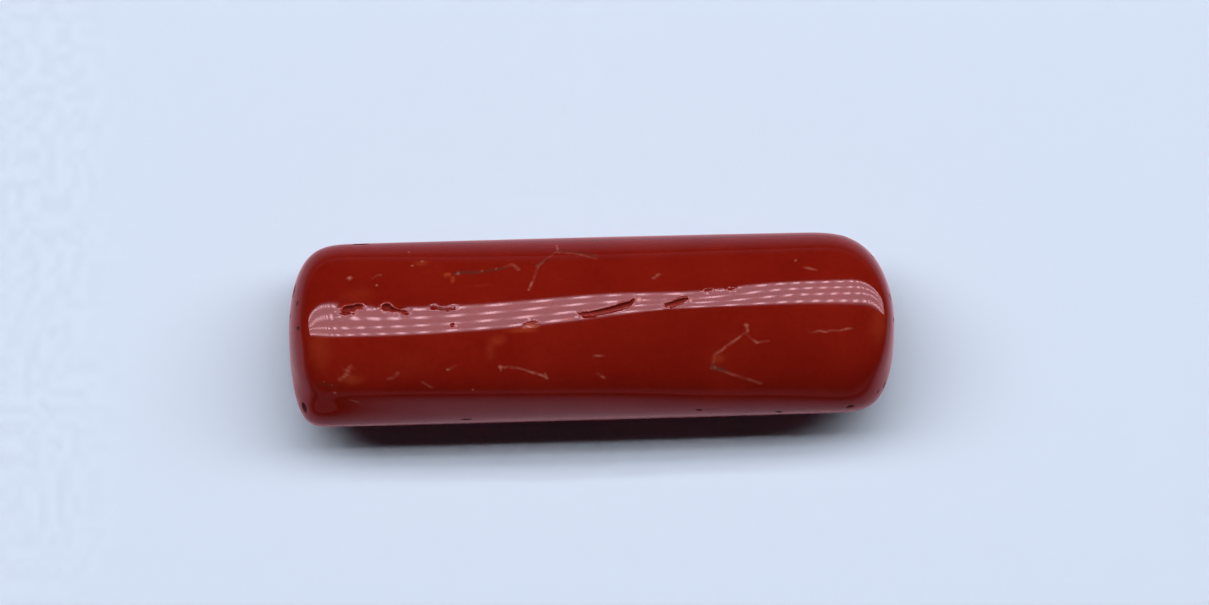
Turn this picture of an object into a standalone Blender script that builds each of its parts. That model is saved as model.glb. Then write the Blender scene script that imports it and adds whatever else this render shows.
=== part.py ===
# Red coral rod: one straight stick of red coral, ground to a bar of flattened oval section
# with rounded ends, then polished. Its underside is worn to a narrow three-cornered flat,
# which it lies on. Its top keeps the grown pits and furrows that grinding left open, and its
# end rims keep a few small chips.
# Metres, +Z up. X runs along the rod, and the origin is below its middle, on the flat.

import math

import bmesh
import bpy
from mathutils import Matrix, Vector

MM = 0.001

# Driving dimensions
ROD_LENGTH = 20.1 * MM
BACK_HALF_WIDTH = 3.05 * MM  # from the rod's axis to the side towards +Y
BACK_WIDEST_AT = -1.0 * MM  # where along the rod that side stands out most
FRONT_HALF_WIDTH = 3.07 * MM
FRONT_WIDEST_AT = -5.0 * MM
TOP_HEIGHT = 2.5 * MM  # from the rod's axis to its back
BELLY_DEPTH = 2.5 * MM  # from the axis to the underside before the flat was worn
FLAT_DEPTH = 0.20 * MM  # how much of the underside the flat takes off
SIDE_BARREL = 0.0003 / MM  # how fast a side draws in from there, as loss over distance squared
TOP_BARREL = 0.0062 / MM
BELLY_BARREL = 0.002 / MM
LEFT_ROUNDING = 2.55 * MM  # length of the stretch over which an end turns in
RIGHT_ROUNDING = 3.05 * MM

# Beyond this distance from the middle the back falls away faster, as a cubic
BACK_FALL_START = 5.0 * MM
BACK_FALL = 960.0  # in 1/m2

# How square each end is, seen in four directions round the rod: back side (+Y), top,
# front side (-Y) and underside. 2 is an ellipse, and a high value is a tight rim.
LEFT_SQUARENESS = (4.2, 8.0, 8.0, 6.0)
RIGHT_SQUARENESS = (3.3, 24.0, 6.0, 7.0)

# Share of that squareness which an end's two upper corners lose, towards +Y and towards -Y
LEFT_SOFTENING = (0.0, 0.22)
RIGHT_SOFTENING = (0.15, 0.10)

# The ridge of the back sways from side to side as a slow wave
RIDGE_SWAY = 0.20 * MM
RIDGE_WAVE = 23.0 * MM
RIDGE_CROSSING = 0.5 * MM  # where along the rod it crosses to +Y

# It is sharper than the oval about one place, and blunter towards both ends
SHARPENING = 0.70 * MM  # fall beside the ridge, at its sharpest
SHARPEST_AT = 3.5 * MM
SHARP_REACH = 2.2 * MM
BLUNTING = 0.0035 / MM
RIDGE_AT = 0.12  # cosine of the angle, from +Y, at which it is sharpest
RIDGE_REACH = 0.12  # square of the cosine over which that dies away

# The flat stretch low on the front flank, where it is shallowest, and how it deepens away
FACET_DEPTH = 0.03 * MM
FACET_SHALLOWEST_AT = 2.0 * MM
FACET_GROWTH = 0.0007 / MM

# Corners of the flat, as (distance along the rod, distance towards +Y), in order round it,
# and how far the worn skin turns up beyond each of its edges
FLAT_CORNERS = ((-6.3 * MM, -0.62 * MM), (6.3 * MM, -0.95 * MM), (0.4 * MM, 0.88 * MM))
WORN_TURN = math.radians(5.0)

SIDES = 72
END_RINGS = 13
MIDDLE_RINGS = 24

# Each hollow as (name, distance along the rod, degrees round it from +Y over the top,
# length, width, depth, degrees that its length turns away from the rod's axis)
HOLLOWS = (
    ("big_pit", -7.95 * MM, 73.5, 0.68 * MM, 0.36 * MM, 0.16 * MM, 12.0),
    ("second_pit", -6.68 * MM, 75.0, 0.46 * MM, 0.32 * MM, 0.16 * MM, -8.0),
    ("second_pit_tail", -6.28 * MM, 78.5, 0.50 * MM, 0.13 * MM, 0.10 * MM, -14.0),
    ("furrow_start", 0.16 * MM, 84.9, 1.10 * MM, 0.13 * MM, 0.11 * MM, 7.0),
    ("furrow_end", 0.95 * MM, 81.2, 0.95 * MM, 0.19 * MM, 0.15 * MM, 17.0),
    ("short_furrow", 2.81 * MM, 79.0, 0.78 * MM, 0.17 * MM, 0.12 * MM, 17.0),
    ("left_rim_chip", -9.83 * MM, 26.0, 0.30 * MM, 0.60 * MM, 0.12 * MM, 0.0),
    ("left_front_chip", -9.57 * MM, 168.0, 0.30 * MM, 0.44 * MM, 0.11 * MM, 0.0),
    ("left_back_chip", -7.57 * MM, 9.0, 0.60 * MM, 0.26 * MM, 0.09 * MM, 0.0),
    ("right_back_chip", 8.45 * MM, 8.0, 0.44 * MM, 0.26 * MM, 0.09 * MM, 0.0),
    ("right_rim_chip", 10.0 * MM, 95.0, 0.30 * MM, 0.30 * MM, 0.09 * MM, 0.0),
    ("right_front_chip", 9.64 * MM, 172.0, 0.24 * MM, 0.34 * MM, 0.10 * MM, 0.0),
    ("front_chip", 8.50 * MM, 170.5, 0.36 * MM, 0.22 * MM, 0.08 * MM, 0.0),
)

CORAL_RED = (0.184, 0.0080, 0.0044, 1.0)
CORAL_ROUGHNESS = 0.12


def new_collection(name):
    collection = bpy.data.collections.new(name)
    bpy.context.scene.collection.children.link(collection)
    return collection


def polished_coral():
    material = bpy.data.materials.new("polished_red_coral")
    material.use_nodes = True
    shader = material.node_tree.nodes["Principled BSDF"]
    shader.inputs["Base Color"].default_value = CORAL_RED
    shader.inputs["Roughness"].default_value = CORAL_ROUGHNESS
    shader.inputs["Metallic"].default_value = 0.0
    return material


# Squareness in a direction round the rod, blended between the two of the four beside it
def squareness_towards(angle, four, softening):
    total = 0.0
    for quarter, value in enumerate(four):
        weight = max(0.0, math.cos(angle - quarter * math.pi / 2)) ** 2
        total += weight * math.log(value)
    corner = math.sin(2 * angle) if math.sin(angle) > 0 else 0.0
    lost = softening[0] * max(0.0, corner) + softening[1] * max(0.0, -corner)
    return math.exp(total) * (1 - lost)


# Where a ray from the corner of a unit square meets the end's curve, which runs from
# (1, 0) at the tip of the rod to (0, 1) at its side: (reach along, share of the radius)
def end_curve(ray, squareness):
    if ray <= 0:
        return 1.0, 0.0
    if ray >= math.pi / 2:
        return 0.0, 1.0
    low, high = 0.0, math.sqrt(2)
    for _ in range(44):
        middle = (low + high) / 2
        reach, share = middle * math.cos(ray), middle * math.sin(ray)
        if reach**squareness + share**2 > 1:
            high = middle
        else:
            low = middle
    return low * math.cos(ray), low * math.sin(ray)


# Rays lie closer together about the rim, where the surface turns fastest
def end_ray(step):
    offset = 2 * step / END_RINGS - 1
    return math.pi / 4 * (1 + offset * (0.5 + 0.5 * offset * offset))


# An oval section, blended between its half width and its height. Towards the ends the back
# drops but keeps its curve, its ridge sways and is sharper in one place, and its front flank
# has a flat stretch low down.
def body_radius(along, angle):
    sideways = math.cos(angle)
    if sideways > 0:
        half_width = BACK_HALF_WIDTH - SIDE_BARREL * (along - BACK_WIDEST_AT) ** 2
    else:
        half_width = FRONT_HALF_WIDTH - SIDE_BARREL * (along - FRONT_WIDEST_AT) ** 2
    if math.sin(angle) <= 0:
        depth = BELLY_DEPTH - BELLY_BARREL * along * along
        return half_width ** (sideways**2) * depth ** (1 - sideways**2)
    beyond = max(0.0, abs(along) - BACK_FALL_START)
    off_ridge = (sideways - RIDGE_AT) ** 2
    drop = TOP_BARREL * along * along + BACK_FALL * beyond**3
    sharpness = SHARPENING * math.exp(-(((along - SHARPEST_AT) / SHARP_REACH) ** 2))
    sharpness -= BLUNTING * along * along
    drop += sharpness * off_ridge / (1 + off_ridge / RIDGE_REACH)
    facet = FACET_DEPTH + FACET_GROWTH * (along - FACET_SHALLOWEST_AT) ** 2
    drop += facet * 15 * max(0.0, -sideways) ** 10
    sway = RIDGE_SWAY * math.sin(2 * math.pi * (along - RIDGE_CROSSING) / RIDGE_WAVE)
    lean = sway * sideways
    oval = half_width ** (sideways**2) * TOP_HEIGHT ** (1 - sideways**2)
    return oval - (drop - lean) * (1 - sideways**4)


# The point on the rod's surface for a ring counted from the right tip and an angle
def surface_point(ring, angle):
    left_start = END_RINGS + MIDDLE_RINGS
    left_shoulder = LEFT_ROUNDING - ROD_LENGTH / 2
    right_shoulder = ROD_LENGTH / 2 - RIGHT_ROUNDING
    if ring < END_RINGS:
        squareness = squareness_towards(angle, RIGHT_SQUARENESS, RIGHT_SOFTENING)
        reach, share = end_curve(end_ray(ring), squareness)
        along = right_shoulder + RIGHT_ROUNDING * reach
    elif ring > left_start:
        squareness = squareness_towards(angle, LEFT_SQUARENESS, LEFT_SOFTENING)
        reach, share = end_curve(end_ray(left_start + END_RINGS - ring), squareness)
        along = left_shoulder - LEFT_ROUNDING * reach
    else:
        step = (ring - END_RINGS) / MIDDLE_RINGS
        along = right_shoulder + (left_shoulder - right_shoulder) * step
        share = 1.0
    radius = body_radius(along, angle) * share
    return Vector((along, radius * math.cos(angle), radius * math.sin(angle)))


# The ring, which may be a part of one, whose point at this angle lies at this distance
def ring_at(along, angle):
    low, high = 0.0, float(2 * END_RINGS + MIDDLE_RINGS)
    for _ in range(40):
        middle = (low + high) / 2
        if surface_point(middle, angle).x > along:
            low = middle
        else:
            high = middle
    return low


# Takes off what lies beyond a plane, and closes the cut
def grind_away(form, point, normal):
    everything = form.verts[:] + form.edges[:] + form.faces[:]
    bmesh.ops.bisect_plane(
        form, geom=everything, plane_co=point, plane_no=normal, clear_outer=True
    )
    rim = [edge for edge in form.edges if edge.is_boundary]
    bmesh.ops.contextual_create(form, geom=rim)


# A ball of rings and sides, each of its points moved to its place on the rod, then worn
# flat along the underside and a little beyond each edge of that flat
def ground_rod(material):
    mesh = bpy.data.meshes.new("coral_rod")
    form = bmesh.new()
    rings = 2 * END_RINGS + MIDDLE_RINGS
    bmesh.ops.create_uvsphere(form, u_segments=SIDES, v_segments=rings, radius=1)
    for vertex in form.verts:
        from_tip = math.acos(max(-1.0, min(1.0, vertex.co.z)))
        angle = math.atan2(vertex.co.y, vertex.co.x)
        vertex.co = surface_point(from_tip / math.pi * rings, angle)
    bmesh.ops.recalc_face_normals(form, faces=form.faces)
    corners = [Vector((x, y, FLAT_DEPTH - BELLY_DEPTH)) for x, y in FLAT_CORNERS]
    for corner, following in zip(corners, corners[1:] + corners[:1]):
        edge = (following - corner).normalized()
        beyond = edge.cross(Vector((0, 0, 1)))
        turned = beyond * math.sin(WORN_TURN) - Vector((0, 0, math.cos(WORN_TURN)))
        grind_away(form, corner, turned)
    grind_away(form, corners[0], Vector((0, 0, -1)))
    bmesh.ops.recalc_face_normals(form, faces=form.faces)
    form.to_mesh(mesh)
    form.free()
    mesh.materials.append(material)
    return mesh


# An ellipsoid sunk in the surface, its length along the rod turned by the heading
def hollow_cutter(name, along, degrees, length, width, depth, heading):
    angle = math.radians(degrees)
    ring = ring_at(along, angle)
    here = surface_point(ring, angle)
    onward = surface_point(ring - 0.05, angle) - here
    around = surface_point(ring, angle - 0.02) - here
    outward = onward.cross(around).normalized()
    lengthwise = (onward - outward * onward.dot(outward)).normalized()
    sideways = outward.cross(lengthwise)
    turned = math.radians(heading)
    lengthwise, sideways = (
        lengthwise * math.cos(turned) + sideways * math.sin(turned),
        sideways * math.cos(turned) - lengthwise * math.sin(turned),
    )
    rise = 0.35 * depth
    size = Matrix.Diagonal((length / 2, width / 2, depth + rise, 1))
    axes = Matrix((lengthwise, sideways, outward)).transposed().to_4x4()
    place = Matrix.Translation(here + outward * rise)
    mesh = bpy.data.meshes.new(name)
    form = bmesh.new()
    bmesh.ops.create_icosphere(form, subdivisions=2, radius=1, matrix=place @ axes @ size)
    bmesh.ops.recalc_face_normals(form, faces=form.faces)
    form.to_mesh(mesh)
    form.free()
    return bpy.data.objects.new(name, mesh)


def main():
    for item in list(bpy.data.objects):
        bpy.data.objects.remove(item)
    rod_parts = new_collection("red_coral_rod")
    cutters = new_collection("hollow_cutters")

    rod = bpy.data.objects.new("coral_rod", ground_rod(polished_coral()))
    rod.location.z = BELLY_DEPTH - FLAT_DEPTH
    rod_parts.objects.link(rod)

    for hollow in HOLLOWS:
        cutter = hollow_cutter(*hollow)
        cutter.location.z = rod.location.z
        cutter.hide_render = True
        cutter.display_type = "WIRE"
        cutters.objects.link(cutter)

    cut = rod.modifiers.new("hollows", "BOOLEAN")
    cut.operation = "DIFFERENCE"
    cut.operand_type = "COLLECTION"
    cut.collection = cutters
    cut.solver = "EXACT"
    cut.use_self = True

    rod.data.shade_smooth()
    rod.data.set_sharp_from_angle(angle=math.radians(40))


main()
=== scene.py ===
import math

import bmesh
import bpy
import numpy as np
from mathutils import Euler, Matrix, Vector


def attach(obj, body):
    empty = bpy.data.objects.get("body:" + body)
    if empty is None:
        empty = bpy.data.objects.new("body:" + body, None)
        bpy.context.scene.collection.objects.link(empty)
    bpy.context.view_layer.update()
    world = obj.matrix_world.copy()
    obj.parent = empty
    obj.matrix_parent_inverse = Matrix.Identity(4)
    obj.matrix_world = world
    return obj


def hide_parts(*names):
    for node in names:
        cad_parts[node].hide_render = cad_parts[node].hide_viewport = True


# Red coral rod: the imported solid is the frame, and this script gives it its fine surface,
# its polished coral and a plain stage. Metres, +Z up, X along the rod.
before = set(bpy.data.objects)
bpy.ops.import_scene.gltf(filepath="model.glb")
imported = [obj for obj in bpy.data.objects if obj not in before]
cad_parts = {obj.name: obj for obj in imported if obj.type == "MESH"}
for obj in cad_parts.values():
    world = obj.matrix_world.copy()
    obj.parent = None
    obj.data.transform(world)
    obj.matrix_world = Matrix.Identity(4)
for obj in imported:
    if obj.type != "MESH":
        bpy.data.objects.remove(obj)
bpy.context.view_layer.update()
mm = 0.001
farOff = 99.0   # mm, more than any distance on the rod


def linear(hexColour):
    parts = [int(hexColour[i:i + 2], 16) / 255 for i in (1, 3, 5)]
    return tuple(c / 12.92 if c < 0.04045 else ((c + 0.055) / 1.055) ** 2.4 for c in parts) + (1.0,)


# adds one node to a tree, with its settings and what feeds its inputs
def addNode(tree, kind, settings=None, **inputs):
    node = tree.nodes.new(kind)
    for name, value in (settings or {}).items():
        setattr(node, name, value)
    for key, value in inputs.items():
        numbered = key[0] == "i" and key[1:].isdigit()
        socket = node.inputs[int(key[1:])] if numbered else node.inputs[key.replace("_", " ")]
        if isinstance(value, bpy.types.NodeSocket):
            tree.links.new(value, socket)
        else:
            socket.default_value = value
    return node


def maths(tree, operation, *values):
    feeds = {"i" + str(place): value for place, value in enumerate(values)}
    return addNode(tree, "ShaderNodeMath", {"operation": operation}, **feeds).outputs[0]


def mixed(tree, share, first, second):
    return addNode(tree, "ShaderNodeMix", {"data_type": "RGBA"}, i0=share, i6=first, i7=second).outputs[2]


def newMaterial(name):
    material = bpy.data.materials.new(name)
    material.use_nodes = True
    tree = material.node_tree
    return material, tree, tree.nodes["Principled BSDF"]


def showObject(name, data):
    item = bpy.data.objects.new(name, data)
    bpy.context.scene.collection.objects.link(item)
    return item


# The rod's form, in mm. These are the CAD solid's own driving dimensions.
rodForm = {
    "length": 20.1,
    "backHalfWidth": 3.05,     # axis to the side towards +Y, and where that is widest
    "backWidestAt": -1.0,
    "frontHalfWidth": 3.07,
    "frontWidestAt": -5.0,
    "topHeight": 2.5,          # axis to back
    "bellyDepth": 2.5,         # axis to underside before the flat
    "flatDepth": 0.20,
    "flatCorners": ((-6.3, -0.62), (6.3, -0.95), (0.4, 0.88)),
    "wornTurn": 5.0,           # degrees the skin turns up beyond the flat
    "sideBarrel": 0.0003,      # loss over distance squared
    "topBarrel": 0.0062,
    "bellyBarrel": 0.002,
    "backFallStart": 5.0,      # beyond this the back falls as a cubic
    "backFall": 0.00096,
    "leftRounding": 2.55,
    "rightRounding": 3.05,
    "leftSquareness": (4.2, 8.0, 8.0, 6.0),     # towards +Y, top, -Y, underside
    "rightSquareness": (3.3, 24.0, 6.0, 7.0),
    "leftSoftening": (0.0, 0.22),               # share lost at the upper corners, towards +Y and -Y
    "rightSoftening": (0.15, 0.10),
    "ridgeSway": 0.20,         # the ridge of the back sways from side to side as a slow wave
    "ridgeWave": 23.0,
    "ridgeCrossing": 0.5,      # where it crosses to +Y
    "sharpening": 0.70,        # how much sharper than the oval it is at its sharpest
    "sharpestAt": 3.5,
    "sharpReach": 2.2,
    "blunting": 0.0035,        # and blunter to both ends, as fall over distance squared
    "ridgeAt": 0.12,           # cosine of the angle from +Y at which it is sharpest
    "ridgeReach": 0.12,
    "facetDepth": 0.03,        # the flat stretch low on the front flank, where it is shallowest
    "facetShallowestAt": 2.0,
    "facetGrowth": 0.0007,
    "sides": 180,
    "endRings": 34,
    "middleRings": 132,
    "denserWithin": ((0.12, False), (0.05, False), (0.02, True)),  # mm from what is fine, or hollows only
}

# Hollows that grinding left open. A pit is a few stamps of (along, degrees round from +Y over
# the top, length, width, depth, heading), and a furrow is a line of (along, degrees, width,
# depth). Sizes are in mm, and wall is how upright the sides are.
pits = {
    "bigPit": {"wall": 3.0, "stamps": (
        (-7.98, 73.4, 0.50, 0.27, 0.15, 12), (-7.72, 71.8, 0.36, 0.20, 0.13, 8),
        (-8.10, 77.2, 0.20, 0.26, 0.12, 65))},
    "secondPit": {"wall": 3.5, "stamps": (
        (-6.74, 74.2, 0.32, 0.28, 0.16, 0), (-6.60, 76.2, 0.38, 0.20, 0.14, -25))},
    "smallPit": {"wall": 1.5, "stamps": ((-4.58, 92.3, 0.18, 0.13, 0.029, 30),)},
    "underSlit": {"wall": 1.5, "stamps": ((-1.99, 91.6, 0.34, 0.05, 0.03, 8),)},
    "dent": {"wall": 1.5, "stamps": ((3.87, 69.6, 0.28, 0.09, 0.04, 10),)},
    "secondDent": {"wall": 1.5, "stamps": ((4.62, 69.0, 0.24, 0.08, 0.03, 8),)},
    "leftRimChip": {"wall": 2.0, "stamps": ((-9.83, 26.0, 0.46, 0.56, 0.10, 0),)},
    "leftTipChip": {"wall": 2.0, "stamps": ((-9.98, 50.0, 0.26, 0.50, 0.05, 0),)},
    "leftFaceChip": {"wall": 2.0, "stamps": ((-9.71, 55.0, 0.20, 0.26, 0.05, 0),)},
    "leftLowChip": {"wall": 2.0, "stamps": ((-9.69, 88.0, 0.24, 0.20, 0.05, 0),)},
    "leftFrontChip": {"wall": 2.0, "stamps": ((-9.57, 168.0, 0.40, 0.40, 0.09, 0),)},
    "leftBackChip": {"wall": 2.0, "stamps": ((-7.57, 9.0, 0.60, 0.24, 0.06, 0),)},
    "rightBackChip": {"wall": 2.0, "stamps": ((8.45, 8.0, 0.42, 0.24, 0.06, 0),)},
    "rightCornerChip": {"wall": 2.0, "stamps": ((9.39, 21.0, 0.28, 0.20, 0.04, 0),)},
    "rightRimChip": {"wall": 2.0, "stamps": ((9.90, 62.0, 0.24, 0.34, 0.04, 0),)},
    "rightTipChip": {"wall": 2.0, "stamps": ((10.0, 95.0, 0.34, 0.44, 0.06, 0),)},
    "rightFrontChip": {"wall": 2.0, "stamps": (
        (9.66, 172.0, 0.30, 0.26, 0.07, 0), (9.42, 168.0, 0.16, 0.12, 0.03, 0))},
    "frontChip": {"wall": 2.0, "stamps": ((8.50, 171.0, 0.30, 0.15, 0.05, 0),)},
    "frontNick": {"wall": 1.5, "stamps": ((3.48, 167.0, 0.26, 0.10, 0.03, -10),)},
    "secondFrontNick": {"wall": 1.5, "stamps": ((6.13, 173.5, 0.24, 0.12, 0.04, 0),)},
    "leftFrontNick": {"wall": 1.5, "stamps": ((-4.20, 171.0, 0.42, 0.10, 0.03, 5),)},
}
furrows = {
    "pitTail": ((-6.52, 76.9, 0.12, 0.10), (-6.30, 78.4, 0.09, 0.07), (-6.04, 80.0, 0.04, 0.02)),
    "thinSlit": ((-5.20, 75.8, 0.04, 0.01), (-4.98, 78.0, 0.08, 0.02), (-4.71, 78.8, 0.08, 0.02),
                 (-4.47, 77.8, 0.04, 0.01)),
    "longFurrow": ((-0.38, 86.5, 0.07, 0.05), (-0.04, 85.8, 0.10, 0.08), (0.30, 84.5, 0.11, 0.10),
                   (0.71, 82.7, 0.14, 0.13), (1.06, 80.5, 0.17, 0.15), (1.28, 79.2, 0.14, 0.13),
                   (1.41, 76.4, 0.06, 0.05)),
    "shortFurrow": ((2.44, 81.2, 0.05, 0.03), (2.62, 80.2, 0.12, 0.09), (2.82, 78.9, 0.15, 0.12),
                    (3.02, 77.4, 0.15, 0.12), (3.16, 76.3, 0.07, 0.06)),
}
skin = {
    "wallRoughness": 0.10,      # share by which grain frays a hollow's edge
    "lipHeight": 0.006,
    "pitRipple": 0.0008,        # waves left in the polish about the two pits
    "pitRippleAt": (-7.3, 78.0, 1.5),
    "longWave": 0.003,          # hand grinding, 6 mm from wave to wave
    "shortWave": 0.0004,        # and 2 mm
    "furrowWall": 3.0,
    "polishedDepth": 0.03,      # hollows shallower than this took the polish
    "crackWander": 0.032,
    "crackDepth": 0.003,
}

# Fine pale growth cracks under the polish: (width mm, strength, line of (along, degrees))
growthCracks = (
    (0.090, 0.45, ((-2.80, 45.0), (-2.60, 43.0), (-2.35, 47.5))),
    (0.070, 0.28, ((-1.02, 34.2), (-0.48, 35.6), (0.20, 41.6))),
    (0.090, 0.50, ((-2.20, 95.0), (-1.75, 94.4))),
    (0.068, 0.41, ((-2.04, 65.5), (-1.87, 57.3), (-1.76, 49.0), (-1.65, 44.7))),
    (0.098, 0.60, ((-1.72, 45.7), (-1.60, 43.1))),
    (0.068, 0.30, ((-1.65, 44.7), (-1.45, 39.0), (-1.31, 37.2), (-1.06, 31.5))),
    (0.060, 0.45, ((-1.06, 31.5), (-1.09, 25.2))),
    (0.068, 0.45, ((-3.02, 126.0), (-3.03, 123.6), (-2.90, 124.2), (-2.80, 123.8))),
    (0.068, 0.49, ((-2.80, 123.8), (-2.55, 124.4), (-2.21, 126.0), (-1.90, 128.8), (-1.55, 131.2))),
    (0.068, 0.45, ((-1.58, 129.6), (-1.55, 131.8), (-1.48, 132.6))),
    (0.075, 0.38, ((5.09, 97.5), (5.14, 102.8), (4.67, 110.8))),
    (0.083, 0.49, ((4.67, 110.8), (4.30, 116.8), (4.02, 121.2))),
    (0.075, 0.45, ((4.02, 121.2), (3.98, 126.0), (3.92, 131.0))),
    (0.075, 0.45, ((4.00, 131.5), (4.30, 134.2), (4.90, 140.0), (5.30, 143.8), (5.57, 146.0))),
    (0.068, 0.41, ((5.09, 105.5), (5.28, 109.6), (5.45, 112.8), (5.79, 111.8))),
    (0.068, 0.38, ((7.32, 105.8), (7.52, 104.9), (7.74, 105.9), (7.98, 104.6), (8.22, 104.9),
                   (8.56, 103.5))),
    (0.068, 0.38, ((0.05, 118.0), (0.39, 117.8))),
    (0.068, 0.45, ((0.15, 130.5), (0.39, 134.2))),
    (0.068, 0.38, ((-4.76, 125.5), (-4.52, 122.8))),
    (0.090, 0.41, ((-6.75, 132.2), (-6.58, 131.4), (-6.41, 128.0))),
    (0.068, 0.34, ((-5.62, 134.6), (-5.46, 136.4), (-5.30, 139.0))),
    (0.060, 0.34, ((-7.95, 152.5), (-7.80, 153.6), (-7.67, 156.2))),
    (0.120, 0.38, ((-8.33, 134.5), (-8.14, 131.4), (-8.06, 127.6), (-7.95, 123.8))),
    (0.068, 0.30, ((-7.19, 47.0), (-7.05, 44.8), (-6.92, 45.0))),
    (0.075, 0.41, ((2.07, 59.8), (2.27, 56.7))),
)

# Cracks that hold a dark brown stain, in the same way
stainedCracks = (
    (0.120, 0.90, ((-4.47, 48.2), (-4.03, 47.8), (-3.57, 48.2))),
    (0.100, 0.75, ((-3.57, 48.2), (-3.08, 46.5), (-2.74, 45.4))),
    (0.085, 0.75, ((-1.06, 31.5), (-0.48, 33.6), (-0.16, 35.6), (0.20, 39.2))),
    (0.130, 0.85, ((3.93, 130.0), (4.10, 132.6), (4.35, 133.8))),
    (0.110, 0.80, ((-1.72, 44.5), (-1.50, 40.0))),
)

# Small pale pores, and one painted highlight, a lamp's glint in a dent at 1.59 mm along: (along, degrees,
# diameter, strength)
poresAndPaintedGlint = (
    (-7.95, 45.5, 0.15, 0.56), (-7.05, 53.7, 0.09, 0.38), (-5.98, 25.0, 0.08, 0.38),
    (-5.88, 38.5, 0.09, 0.45), (-5.54, 35.2, 0.09, 0.38), (6.79, 45.5, 0.09, 0.34),
    (7.26, 52.0, 0.09, 0.34), (-3.96, 140.5, 0.08, 0.41), (-8.52, 146.0, 0.10, 0.45),
    (-4.36, 48.2, 0.13, 0.77), (-3.57, 47.3, 0.07, 0.52), (-3.10, 46.1, 0.09, 0.45),
    (4.03, 131.4, 0.11, 0.77), (5.10, 98.2, 0.14, 0.45), (-1.55, 131.4, 0.11, 0.45),
    # the second entry below, at 1.59 mm along, is a painted highlight, not a pore
    (-3.03, 124.0, 0.13, 0.49), (1.59, 76.6, 0.14, 0.85), (3.28, 77.8, 0.11, 0.77),
    (-4.46, 92.6, 0.10, 0.77), (-4.78, 125.2, 0.09, 0.38), (-8.62, 139.4, 0.06, 0.30),
    (-8.90, 137.2, 0.06, 0.30), (-7.80, 153.2, 0.07, 0.30), (2.20, 57.3, 0.07, 0.45),
    (5.42, 113.2, 0.08, 0.38), (8.24, 104.8, 0.07, 0.38), (7.60, 105.4, 0.07, 0.38),
)

# Soft places where the red turns orange: (along, degrees, length, width, strength)
orangePatches = (
    (-4.70, 48.6, 0.34, 0.22, 0.80), (-4.52, 53.0, 0.16, 0.42, 0.60), (-7.95, 134.0, 1.0, 0.55, 0.30),
    (-1.96, 94.6, 0.56, 0.14, 0.90), (-2.30, 97.5, 1.3, 0.24, 0.45), (-3.10, 104.5, 0.8, 0.5, 0.28),
    (-3.35, 111.8, 0.4, 0.9, 0.20), (-9.00, 108.0, 1.1, 2.6, 0.20), (9.50, 100.0, 0.9, 2.4, 0.20),
    (-5.54, 36.5, 0.7, 0.3, 0.30), (4.15, 124.0, 0.6, 0.5, 0.30), (-6.0, 122.0, 2.0, 1.2, 0.06),
    (-3.65, 60.0, 1.3, 0.14, 0.12), (-7.7, 62.0, 1.6, 0.9, 0.12), (-0.75, 90.2, 0.5, 0.12, 0.60),
)

# Where dust has dulled the polish brown grey, in the same way
dustSmear = (-8.75, 140.4, 1.00, 0.30, 0.9)


def squarenessTowards(angle, four, softening):
    total = 0
    for quarter, value in enumerate(four):
        total = total + np.maximum(0, np.cos(angle - quarter * math.pi / 2)) ** 2 * math.log(value)
    corner = np.where(np.sin(angle) > 0, np.sin(2 * angle), 0)
    return np.exp(total) * (1 - softening[0] * np.maximum(0, corner) - softening[1] * np.maximum(0, -corner))


# where a ray meets the end's curve: (reach along, share of the radius)
def endCurve(ray, squareness):
    low, high = np.zeros_like(ray), np.full_like(ray, math.sqrt(2))
    for _ in range(44):
        middle = (low + high) / 2
        outside = (middle * np.cos(ray)) ** squareness + (middle * np.sin(ray)) ** 2 > 1
        high = np.where(outside, middle, high)
        low = np.where(outside, low, middle)
    return low * np.cos(ray), low * np.sin(ray)


# an oval section, blended between its half width and its height. Its back drops towards the
# ends but keeps its curve there, its ridge sways and is sharper in one place, and its front
# flank has a flat stretch low down
def bodyRadius(form, along, angle):
    sideways = np.cos(angle)
    back = form["backHalfWidth"] - form["sideBarrel"] * (along - form["backWidestAt"]) ** 2
    front = form["frontHalfWidth"] - form["sideBarrel"] * (along - form["frontWidestAt"]) ** 2
    halfWidth = np.where(sideways > 0, back, front)
    beyond = np.maximum(0, np.abs(along) - form["backFallStart"])
    drop = form["topBarrel"] * along ** 2 + form["backFall"] * beyond ** 3
    sway = form["ridgeSway"] * np.sin(2 * math.pi * (along - form["ridgeCrossing"]) / form["ridgeWave"])
    sharpness = form["sharpening"] * np.exp(-((along - form["sharpestAt"]) / form["sharpReach"]) ** 2)
    sharpness = sharpness - form["blunting"] * along ** 2
    facet = form["facetDepth"] + form["facetGrowth"] * (along - form["facetShallowestAt"]) ** 2
    offRidge = (sideways - form["ridgeAt"]) ** 2
    drop = drop - sway * sideways + sharpness * offRidge / (1 + offRidge / form["ridgeReach"])
    drop = drop + facet * 15 * np.maximum(0, -sideways) ** 10
    upper = np.sin(angle) > 0
    height = np.where(upper, form["topHeight"], form["bellyDepth"] - form["bellyBarrel"] * along ** 2)
    radius = halfWidth ** sideways ** 2 * height ** (1 - sideways ** 2)
    return radius - np.where(upper, drop * (1 - sideways ** 4), 0)


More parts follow.
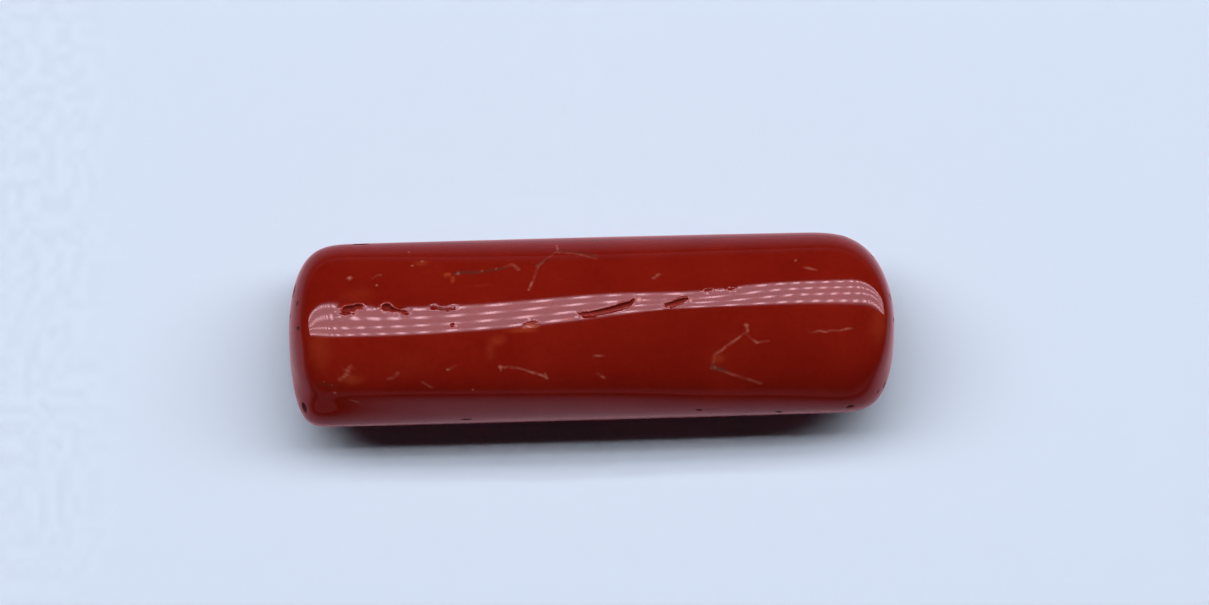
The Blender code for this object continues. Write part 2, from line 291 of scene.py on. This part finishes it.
# the rod's surface at a ring, which may be a part of one, counted from the right tip
def rodSurface(form, ring, angle):
    endRings, middleRings = form["endRings"], form["middleRings"]
    leftStart = endRings + middleRings
    rightShoulder = form["length"] / 2 - form["rightRounding"]
    leftShoulder = form["leftRounding"] - form["length"] / 2
    toLeft = ring > leftStart
    step = np.where(toLeft, leftStart + endRings - ring, ring)
    offset = 2 * np.clip(step, 0, endRings) / endRings - 1
    ray = math.pi / 4 * (1 + offset * (0.5 + 0.5 * offset ** 2))
    squareness = np.where(toLeft, squarenessTowards(angle, form["leftSquareness"], form["leftSoftening"]),
                          squarenessTowards(angle, form["rightSquareness"], form["rightSoftening"]))
    reach, share = endCurve(ray, squareness)
    middle = (ring >= endRings) & (ring <= leftStart)
    along = np.where(toLeft, leftShoulder - form["leftRounding"] * reach,
                     rightShoulder + form["rightRounding"] * reach)
    between = rightShoulder + (leftShoulder - rightShoulder) * (ring - endRings) / middleRings
    along = np.where(middle, between, along)
    share = np.where(middle, 1.0, share)
    radius = bodyRadius(form, along, angle) * share
    return np.stack([along, radius * np.cos(angle), radius * np.sin(angle)], axis=1)


# distance along the skin: that along the rod, and at an end the way in over its face
def skinAlong(form, along, angle):
    left = along < 0
    rounding = np.where(left, form["leftRounding"], form["rightRounding"])
    reach = np.clip((np.abs(along) - form["length"] / 2) / rounding + 1, 0, 1)
    squareness = np.where(left, squarenessTowards(angle, form["leftSquareness"], form["leftSoftening"]),
                          squarenessTowards(angle, form["rightSquareness"], form["rightSoftening"]))
    inward = (1 - np.sqrt(1 - reach ** squareness)) * bodyRadius(form, along, angle)
    return along + np.sign(along) * inward


# the ball that the rod is drawn from: each point's ring and angle
def ballPlaces(form, points):
    points = points / np.linalg.norm(points, axis=1)[:, None]
    rings = 2 * form["endRings"] + form["middleRings"]
    ring = np.arccos(np.clip(points[:, 2], -1, 1)) / math.pi * rings
    return ring, np.arctan2(points[:, 1], points[:, 0])


def positions(mesh):
    flat = np.empty(len(mesh.vertices) * 3, np.float32)
    mesh.vertices.foreach_get("co", flat)
    return flat.reshape(-1, 3).astype(float)


# distance round the oval section in mm, from its ridge towards +Y
def roundFrom(angle):
    mean = (rodForm["backHalfWidth"] + rodForm["topHeight"]) / 2
    flatness = (rodForm["backHalfWidth"] - rodForm["topHeight"]) / 2
    return mean * (math.pi / 2 - angle) - flatness * np.sin(2 * angle) / 2


def roundAt(degrees):
    return roundFrom(np.radians(np.asarray(degrees, float)))


def roundGap(around, degrees):
    full = math.pi * (rodForm["backHalfWidth"] + rodForm["topHeight"])
    gap = around - roundAt(degrees)
    return gap - full * np.round(gap / full)


# how far a point is from a stamp's middle, as a share of the way to its edge
def stampShare(along, around, stamp):
    x0, degrees, length, width, _, heading = stamp
    turn = math.radians(heading)
    du, dv = along - skinAlong(rodForm, x0, math.radians(degrees)), roundGap(around, degrees)
    lengthwise = (du * math.cos(turn) + dv * math.sin(turn)) / (length / 2)
    sideways = (dv * math.cos(turn) - du * math.sin(turn)) / (width / 2)
    return np.hypot(lengthwise, sideways)


# distance from a line of points on the skin, in mm
def crackDistance(along, around, points):
    best = np.full(len(along), farOff)
    for (x0, d0), (x1, d1) in zip(points, points[1:]):
        start = np.array([x0, roundAt(d0)])
        run = np.array([x1, roundAt(d1)]) - start
        share = np.clip(((along - start[0]) * run[0] + (around - start[1]) * run[1]) / (run @ run), 0, 1)
        gap = np.hypot(along - start[0] - run[0] * share, around - start[1] - run[1] * share)
        best = np.minimum(best, gap)
    return best


# the same measure for a line whose width and depth change: (share of its width, its depth)
def furrowShare(along, around, line):
    best, deep = np.full(len(along), farOff), np.zeros(len(along))
    for (x0, d0, w0, h0), (x1, d1, w1, h1) in zip(line, line[1:]):
        start = np.array([x0, roundAt(d0)])
        run = np.array([x1, roundAt(d1)]) - start
        on = np.clip(((along - start[0]) * run[0] + (around - start[1]) * run[1]) / (run @ run), 0, 1)
        gap = np.hypot(along - start[0] - run[0] * on, around - start[1] - run[1] * on)
        share = gap / ((w0 + (w1 - w0) * on) / 2)
        deep = np.where(share < best, h0 + (h1 - h0) * on, deep)
        best = np.minimum(best, share)
    return best, deep


# how close each point is to something fine, in mm, so that the mesh can be denser there
def nearness(along, around, hollowsOnly):
    near = np.full(len(along), farOff)
    for pit in pits.values():
        for stamp in pit["stamps"]:
            share = stampShare(along, around, stamp)
            near = np.minimum(near, (share - 1) * min(stamp[2], stamp[3]) / 2)
    for line in furrows.values():
        near = np.minimum(near, (furrowShare(along, around, line)[0] - 1) * 0.05)
    if hollowsOnly:
        return near
    for width, _, points in growthCracks + stainedCracks:
        near = np.minimum(near, crackDistance(along, around, points) - width)
    for x0, degrees, size, _ in poresAndPaintedGlint:
        near = np.minimum(near, np.hypot(along - x0, roundGap(around, degrees)) - size)
    return near


# a soft lump pattern with no seams, from a few sine waves
def ripple(points, size, seed, waves=7):
    rng = np.random.default_rng(seed)
    total = np.zeros(len(points))
    for _ in range(waves):
        direction = rng.normal(size=3)
        direction /= np.linalg.norm(direction)
        stretch = rng.uniform(0.7, 1.4)
        phase = rng.uniform(0, 6.28)
        total += np.sin(points @ direction * 2 * math.pi / size * stretch + phase)
    return total / waves


def smoothShare(value, low, high):
    share = np.clip((value - low) / (high - low), 0, 1)
    return share * share * (3 - 2 * share)


def setAttribute(mesh, name, values):
    attribute = mesh.attributes.new(name, "FLOAT", "POINT")
    attribute.data.foreach_set("value", np.asarray(values, np.float32))


# the three-cornered flat, with the skin turned up a little beyond each of its edges
def wornFlat(form, place):
    floorAt = form["flatDepth"] - form["bellyDepth"]
    corners = [np.array([x, y, floorAt]) for x, y in form["flatCorners"]]
    turn = math.radians(form["wornTurn"])
    for corner, following in zip(corners, corners[1:] + corners[:1]):
        edge = (following - corner) / np.linalg.norm(following - corner)
        turned = np.array([edge[1], -edge[0], 0]) * math.sin(turn) - np.array([0, 0, math.cos(turn)])
        place = place - np.maximum(0, (place - corner) @ turned)[:, None] * turned
    place[:, 2] = np.maximum(place[:, 2], floorAt) - floorAt
    return place


# the ball, with its faces halved again and again near what is fine
def gradedBall(form):
    rings = 2 * form["endRings"] + form["middleRings"]
    ball = bmesh.new()
    bmesh.ops.create_uvsphere(ball, u_segments=form["sides"], v_segments=rings, radius=1)
    for gap, hollowsOnly in form["denserWithin"]:
        ball.verts.ensure_lookup_table()
        ring, angle = ballPlaces(form, np.array([v.co for v in ball.verts]))
        along = skinAlong(form, rodSurface(form, ring, angle)[:, 0], angle)
        near = nearness(along, roundFrom(angle), hollowsOnly) < gap
        edges = [e for e in ball.edges if near[e.verts[0].index] and near[e.verts[1].index]]
        bmesh.ops.subdivide_edges(ball, edges=edges, cuts=1, use_grid_fill=True)
        ball.verts.index_update()
    return ball


# which way the skin faces, from a small step along it and one round it
def outwardAt(form, ring, angle, place):
    step, turn = 0.02, 0.002
    ahead = rodSurface(form, np.maximum(ring - step, 0.001), angle) - rodSurface(form, ring + step, angle)
    beside = rodSurface(form, ring, angle - turn) - rodSurface(form, ring, angle + turn)
    outward = np.cross(ahead, beside)
    length = np.linalg.norm(outward, axis=1)
    radial = place - np.stack([np.clip(place[:, 0], -7, 7), 0 * angle, 0 * angle], axis=1)
    radial /= np.linalg.norm(radial, axis=1)[:, None] + 1e-9
    outward = np.where((length > 1e-7)[:, None], outward / (length + 1e-12)[:, None], radial)
    return outward * np.sign((outward * radial).sum(axis=1))[:, None]


# how deep the hollows cut, and the share of the way to the edge of the nearest open one
def hollowsAt(along, around, grain, lump):
    openings = [(pit["wall"], stampShare(along, around, stamp), stamp[4])
                for pit in pits.values() for stamp in pit["stamps"]]
    openings += [(skin["furrowWall"], *furrowShare(along, around, line)) for line in furrows.values()]
    cut = np.zeros(len(along))
    nearest = np.full(len(along), farOff)
    for wall, share, deep in openings:
        frayed = share + skin["wallRoughness"] * grain + 0.05 * lump
        cut = np.maximum(cut, deep * (1 - np.clip(frayed, 0, 1) ** wall) * (1 + 0.2 * grain))
        leftOpen = np.asarray(deep) >= skin["polishedDepth"]
        nearest = np.minimum(nearest, np.where(leftOpen, frayed, farOff))
    return cut, nearest


# how strongly each point shows a list's cracks, which wander a little and are broken up
def cracksAt(cracks, along, around, unbroken):
    mask = np.zeros(len(along))
    for width, strength, points in cracks:
        line = smoothShare(crackDistance(along, around, points), width * 1.05, width * 0.10) * strength
        mask = np.maximum(mask, line * unbroken)
    return mask


# the strongest of a list of soft patches at each point, with frayed edges
def patchesAt(patches, along, around, fray, low, high):
    mask = np.zeros(len(along))
    for *stamp, strength in patches:
        share = stampShare(along, around, (*stamp, 0, 0)) + fray
        mask = np.maximum(mask, strength * smoothShare(share, low, high))
    return mask


def buildRod():
    form = rodForm
    mesh = bpy.data.meshes.new("polished_coral_rod")
    ball = gradedBall(form)
    ball.to_mesh(mesh)
    ball.free()

    ring, angle = ballPlaces(form, positions(mesh))
    place = rodSurface(form, ring, angle)
    outward = outwardAt(form, ring, angle, place)
    along, around = skinAlong(form, place[:, 0], angle), roundFrom(angle)
    grain = ripple(place, 0.13, 3)
    lump = ripple(place, 0.45, 5)

    # waves in the polish, from hand grinding, and closer ones about the two pits
    depth = skin["longWave"] * ripple(place, 6.0, 11) + skin["shortWave"] * ripple(place, 2.1, 12)
    pitX, pitDegrees, pitReach = skin["pitRippleAt"]
    nearPits = smoothShare(np.hypot(along - pitX, roundGap(around, pitDegrees)), pitReach, 0.3)
    depth += skin["pitRipple"] * nearPits * ripple(place, 0.75, 14)

    cut, nearest = hollowsAt(along, around, grain, lump)
    inside = smoothShare(nearest, 1.04, 0.94)
    # the rod's ends and flanks: no lip there, and painted shade in their chips
    onRim = np.maximum(smoothShare(np.abs(along), 8.7, 9.3), smoothShare(np.abs(np.cos(angle)), 0.80, 0.95))
    lip = smoothShare(nearest, 1.7, 1.15) * (1 - inside) * (1 - onRim)
    depth += skin["lipHeight"] * lip
    depth -= cut

    crumbs = smoothShare(ripple(place, 0.17, 21), -0.10, 0.35)
    gaps = 0.35 + 0.65 * smoothShare(ripple(place, 0.55, 23), -0.30, 0.20)
    wanderX = along + skin["crackWander"] * lump
    wanderY = around + skin["crackWander"] * ripple(place, 0.4, 8)
    paleMarksAndGlint = cracksAt(growthCracks, wanderX, wanderY, gaps * (0.45 + 0.55 * crumbs))
    stain = cracksAt(stainedCracks, wanderX, wanderY, 0.7 + 0.3 * crumbs)
    # pores, and the one painted highlight among them, are pale like the cracks
    for x0, degrees, size, strength in poresAndPaintedGlint:
        spread = np.hypot(along - x0, roundGap(around, degrees)) * (1 + 0.3 * grain)
        paleMarksAndGlint = np.maximum(paleMarksAndGlint, strength * smoothShare(spread, size * 0.75, size * 0.15))
    depth -= skin["crackDepth"] * np.maximum(paleMarksAndGlint, stain)
    dusty = smoothShare(ripple(place, 0.12, 31), -0.25, 0.25)
    stain = np.maximum(stain, patchesAt((dustSmear,), along, around, 0.25 * lump, 1.0, 0.3) * dusty)
    orange = patchesAt(orangePatches, along, around, 0.22 * lump, 1.1, 0.1)

    place = wornFlat(form, place + outward * depth[:, None])
    mesh.vertices.foreach_set("co", (place * mm).astype(np.float32).ravel())
    # the last of these marks the ends and flanks, whose chips get painted shade
    for name, values in (("paleMarksAndGlint", paleMarksAndGlint), ("stain", stain), ("lip", lip), ("orange", orange),
                         ("rimPaintedShade", onRim)):
        setAttribute(mesh, name, values)
    mesh.update()
    faced = bmesh.new()
    faced.from_mesh(mesh)
    bmesh.ops.recalc_face_normals(faced, faces=faced.faces)
    for face in faced.faces:
        face.material_index = 1 if min(inside[v.index] for v in face.verts) > 0.4 else 0
    faced.to_mesh(mesh)
    faced.free()
    mesh.shade_smooth()
    mesh.calc_loop_triangles()
    print("rod:", len(mesh.loop_triangles), "triangles")
    return showObject("polished_coral_rod", mesh)


# Precious red coral, ground and polished: dense calcite coloured right through, so a deep
# ox-blood red under a glassy skin, faintly cloudy with growth, with paler cracks and pores.
coralLooks = {
    "red": "#78180c",
    "deepRed": "#701309",
    "orangeRed": "#a04426",
    "crackPaleAndGlint": "#b87562",
    "stainBrown": "#57261c",
    "lipPale": "#a5463a",
    "lipStrength": 0.45,
    "ior": 1.46,             # calcite is 1.49 to 1.66; the pores in polished coral dull it
    "gloss": 0.05,
    "glossTint": "#ffdee8",  # light that turns back just under the skin makes its gloss pink
    "cloudSize": 2.4,        # mm
    "fleckSize": 0.16,       # mm
    "fleckShade": (0.94, 1.06),
    "polishMarks": 0.05,     # mm, drawn coarser than the real scratches of some microns
    "polishMarkDepth": 0.002,
}


def polishedPreciousCoral():
    looks = coralLooks
    material, tree, shader = newMaterial("polished_precious_coral")
    place = addNode(tree, "ShaderNodeTexCoord").outputs["Object"]
    cloud = addNode(tree, "ShaderNodeTexNoise", Vector=place, Scale=1 / (looks["cloudSize"] * mm),
                    Detail=4.0, Roughness=0.55).outputs["Fac"]
    flecks = addNode(tree, "ShaderNodeTexNoise", Vector=place, Scale=1 / (looks["fleckSize"] * mm),
                     Detail=3.0, Roughness=0.6).outputs["Fac"]
    tone = addNode(tree, "ShaderNodeMapRange", Value=cloud, From_Min=0.35, From_Max=0.65).outputs["Result"]
    colour = mixed(tree, tone, linear(looks["deepRed"]), linear(looks["red"]))
    # the pale layer holds the cracks, the pores and one painted highlight
    layers = (("orange", "orangeRed"), ("paleMarksAndGlint", "crackPaleAndGlint"), ("stain", "stainBrown"), ("lip", "lipPale"))
    for name, tint in layers:
        mask = addNode(tree, "ShaderNodeAttribute", {"attribute_name": name}).outputs["Fac"]
        if name == "lip":
            mask = maths(tree, "MULTIPLY", mask, looks["lipStrength"])
        colour = mixed(tree, mask, colour, linear(looks[tint]))
    fleck = addNode(tree, "ShaderNodeMapRange", Value=flecks, From_Min=0.3, From_Max=0.7,
                    To_Min=looks["fleckShade"][0], To_Max=looks["fleckShade"][1]).outputs["Result"]
    colour = addNode(tree, "ShaderNodeVectorMath", {"operation": "SCALE"}, i0=colour, Scale=fleck).outputs[0]
    tree.links.new(colour, shader.inputs["Base Color"])
    shader.inputs["Roughness"].default_value = looks["gloss"]
    shader.inputs["IOR"].default_value = looks["ior"]
    shader.inputs["Specular Tint"].default_value = linear(looks["glossTint"])
    shader.inputs["Metallic"].default_value = 0.0
    marks = addNode(tree, "ShaderNodeTexNoise", Vector=place, Scale=1 / (looks["polishMarks"] * mm),
                    Detail=2.0).outputs["Fac"]
    bump = addNode(tree, "ShaderNodeBump", Height=marks, Strength=0.05,
                   Distance=looks["polishMarkDepth"] * mm).outputs["Normal"]
    tree.links.new(bump, shader.inputs["Normal"])
    return material


# Coral as it grew, in the pits and chips that the polish never reached: matt, deep red with a little grime
# through its grain, so it gives no highlight. In the chips at the rod's ends and flanks it is darkened with
# painted shade.
openCoralLooks = {
    "red": "#8c1d14",
    "grime": "#5c1f18",
    "rimPaintedShade": "#4a2028",   # painted shade, darker in the chips at the rod's ends and flanks
    "roughness": 0.75,
    "glossLevel": 0.15,
    "grainSize": 0.07,       # mm
    "grainDepth": 0.01,
}


def openGrownCoral():
    looks = openCoralLooks
    material, tree, shader = newMaterial("open_grown_coral")
    place = addNode(tree, "ShaderNodeTexCoord").outputs["Object"]
    grain = addNode(tree, "ShaderNodeTexNoise", Vector=place, Scale=1 / (looks["grainSize"] * mm),
                    Detail=3.0, Roughness=0.6).outputs["Fac"]
    tone = addNode(tree, "ShaderNodeMapRange", Value=grain, From_Min=0.35, From_Max=0.65).outputs["Result"]
    colour = mixed(tree, tone, linear(looks["grime"]), linear(looks["red"]))
    # painted shade: the chips at the rod's ends and flanks are darkened
    rimShaded = addNode(tree, "ShaderNodeAttribute", {"attribute_name": "rimPaintedShade"}).outputs["Fac"]
    colour = mixed(tree, rimShaded, colour, linear(looks["rimPaintedShade"]))
    tree.links.new(colour, shader.inputs["Base Color"])
    shader.inputs["Roughness"].default_value = looks["roughness"]
    shader.inputs["Specular IOR Level"].default_value = looks["glossLevel"]
    bump = addNode(tree, "ShaderNodeBump", Height=grain, Strength=0.4,
                   Distance=looks["grainDepth"] * mm).outputs["Normal"]
    tree.links.new(bump, shader.inputs["Normal"])
    return material


floorLooks = {
    "card": "#cfe5f4",
    "size": 1.2,             # m
    "glare": "#efc9d9",      # the floor as the coral mirrors it, strongest beside the rod
    "glareAt": -4.0,         # mm across
    "glareReach": 16.0,      # mm from there to where it has halved
}


def plainFloor():
    looks = floorLooks
    floor = bmesh.new()
    bmesh.ops.create_grid(floor, x_segments=1, y_segments=1, size=looks["size"] / 2)
    mesh = bpy.data.meshes.new("plain_floor")
    floor.to_mesh(mesh)
    floor.free()
    item = showObject("plain_floor", mesh)
    material, tree, shader = newMaterial("matt_pale_card")
    shader.inputs["Roughness"].default_value = 0.9
    shader.inputs["Specular IOR Level"].default_value = 0.0
    place = addNode(tree, "ShaderNodeTexCoord").outputs["Object"]
    beside = addNode(tree, "ShaderNodeSeparateXYZ", Vector=place).outputs["Y"]
    halvedAt = (looks["glareAt"] + looks["glareReach"]) * mm
    reach = addNode(tree, "ShaderNodeMapRange", {"clamp": False}, Value=beside,
                    From_Min=looks["glareAt"] * mm, From_Max=halvedAt).outputs["Result"]
    share = maths(tree, "DIVIDE", 1.0, maths(tree, "MULTIPLY_ADD", reach, reach, 1.0))
    mirrored = addNode(tree, "ShaderNodeVectorMath", {"operation": "SCALE"}, i0=linear(looks["glare"])[:3],
                       Scale=share).outputs[0]
    # painted reflection: glossy rays see the floor pinker, and dimmer away from the rod
    glossyRay = addNode(tree, "ShaderNodeLightPath").outputs["Is Glossy Ray"]
    colour = mixed(tree, glossyRay, linear(looks["card"]), mirrored)
    tree.links.new(colour, shader.inputs["Base Color"])
    item.data.materials.append(material)


# One long panel of small lamps behind a diffuser, which a gloss shows as a band of dots
panelLooks = {
    "distance": 0.6,         # m
    "tilt": 20.5,            # degrees behind upright
    "depth": 0.285,
    "shift": 0.10,           # m towards the rod's right end
    "length": 1.7,
    "power": 6.3,            # W
    "colour": (1.0, 0.90, 0.94),
    "lamps": (85, 4),        # along the panel and across it
    "lampReach": (0.24, 0.20),      # of a lamp's own space
    "edgeSoftness": (0.03, 0.12),   # of the panel's length and depth
    "glow": (1.0, 5.6),      # between the lamps, and at each
}


def lampPanel():
    looks = panelLooks
    lamp = bpy.data.lights.new("long_panel", "AREA")
    lamp.shape = "RECTANGLE"
    lamp.size = looks["length"]
    lamp.size_y = looks["depth"]
    lamp.energy = looks["power"]
    lamp.color = looks["colour"]
    item = showObject("long_panel", lamp)
    tilt = math.radians(looks["tilt"])
    away = Vector((0, math.sin(tilt), math.cos(tilt)))
    item.location = away * looks["distance"] + Vector((looks["shift"], 0, 0))
    item.rotation_euler = Euler((-tilt, 0, 0))
    lamp.use_nodes = True
    tree = lamp.node_tree
    place = addNode(tree, "ShaderNodeNewGeometry").outputs["Parametric"]
    split = addNode(tree, "ShaderNodeSeparateXYZ", Vector=place)
    soft = {"interpolation_type": "SMOOTHSTEP"}
    dots, edges = 1.0, 1.0
    for axis, count, reach, fade in zip("XY", looks["lamps"], looks["lampReach"], looks["edgeSoftness"]):
        fromMiddle = maths(tree, "ABSOLUTE", maths(tree, "SUBTRACT", split.outputs[axis], 0.5))
        edge = addNode(tree, "ShaderNodeMapRange", soft, Value=fromMiddle, From_Min=0.5,
                       From_Max=0.5 - fade).outputs["Result"]
        edges = maths(tree, "MULTIPLY", edges, edge)
        part = maths(tree, "FRACT", maths(tree, "MULTIPLY", split.outputs[axis], float(count)))
        fromLamp = maths(tree, "ABSOLUTE", maths(tree, "SUBTRACT", part, 0.5))
        spot = addNode(tree, "ShaderNodeMapRange", soft, Value=fromLamp, From_Min=reach,
                       From_Max=reach * 0.4).outputs["Result"]
        dots = maths(tree, "MULTIPLY", dots, spot)
    power = addNode(tree, "ShaderNodeMapRange", Value=dots, To_Min=looks["glow"][0],
                    To_Max=looks["glow"][1]).outputs["Result"]
    tree.links.new(maths(tree, "MULTIPLY", power, edges), tree.nodes["Emission"].inputs["Strength"])


roomLooks = {
    "dusk": "#15171a",
    "farWall": "#8f737e",    # dim surroundings, that the coral's rims mirror just above the floor
    "farWallTop": 0.22,      # sine of how high they reach
}


def dimSurroundings():
    looks = roomLooks
    world = bpy.data.worlds.new("studio_dusk")
    world.use_nodes = True
    tree = world.node_tree
    towards = addNode(tree, "ShaderNodeTexCoord").outputs["Generated"]
    upward = addNode(tree, "ShaderNodeSeparateXYZ", Vector=towards).outputs["Z"]
    low = addNode(tree, "ShaderNodeMapRange", {"interpolation_type": "SMOOTHSTEP"}, Value=upward,
                  From_Min=looks["farWallTop"], From_Max=0.0).outputs["Result"]
    glossyRay = addNode(tree, "ShaderNodeLightPath").outputs["Is Glossy Ray"]
    colour = mixed(tree, maths(tree, "MULTIPLY", low, glossyRay), linear(looks["dusk"]),
                   linear(looks["farWall"]))
    tree.links.new(colour, tree.nodes["Background"].inputs["Color"])
    bpy.context.scene.world = world


cameraLooks = {
    "distance": 0.25,        # m
    "elevation": 82.0,
    "turn": 1.45,            # degrees the rod's axis rises to the right
    "frameWidth": 40.17,     # mm across the frame at the rod's axis
    "framePixels": (1209, 605),
    "rodCentre": (591.5, 328.7),    # pixel of the rod's middle in that frame
    "sensorWidth": 36,       # mm
}


def photoCamera():
    looks = cameraLooks
    camera = bpy.data.cameras.new("photo_view")
    camera.sensor_width = looks["sensorWidth"]
    camera.lens = looks["sensorWidth"] * looks["distance"] / (looks["frameWidth"] * mm)
    camera.clip_start, camera.clip_end = 0.01, 10
    item = showObject("photo_view", camera)
    turn = Euler((math.radians(90 - looks["elevation"]), 0, -math.radians(looks["turn"])))
    item.rotation_euler = turn
    wide, high = looks["framePixels"]
    pixel = looks["frameWidth"] * mm / wide
    middle = Vector((0, 0, (rodForm["bellyDepth"] - rodForm["flatDepth"]) * mm))
    acrossBy = (wide / 2 - looks["rodCentre"][0]) * pixel
    upBy = (looks["rodCentre"][1] - high / 2) * pixel
    item.location = middle + turn.to_matrix() @ Vector((acrossBy, upBy, looks["distance"]))
    bpy.context.scene.camera = item
    bpy.context.scene.view_settings.view_transform = "Standard"


rod = buildRod()
rod.data.materials.append(polishedPreciousCoral())
rod.data.materials.append(openGrownCoral())
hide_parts("coral_rod")
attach(rod, "root")
print("coral done")
plainFloor()
lampPanel()
dimSurroundings()
photoCamera()
print("stage done")
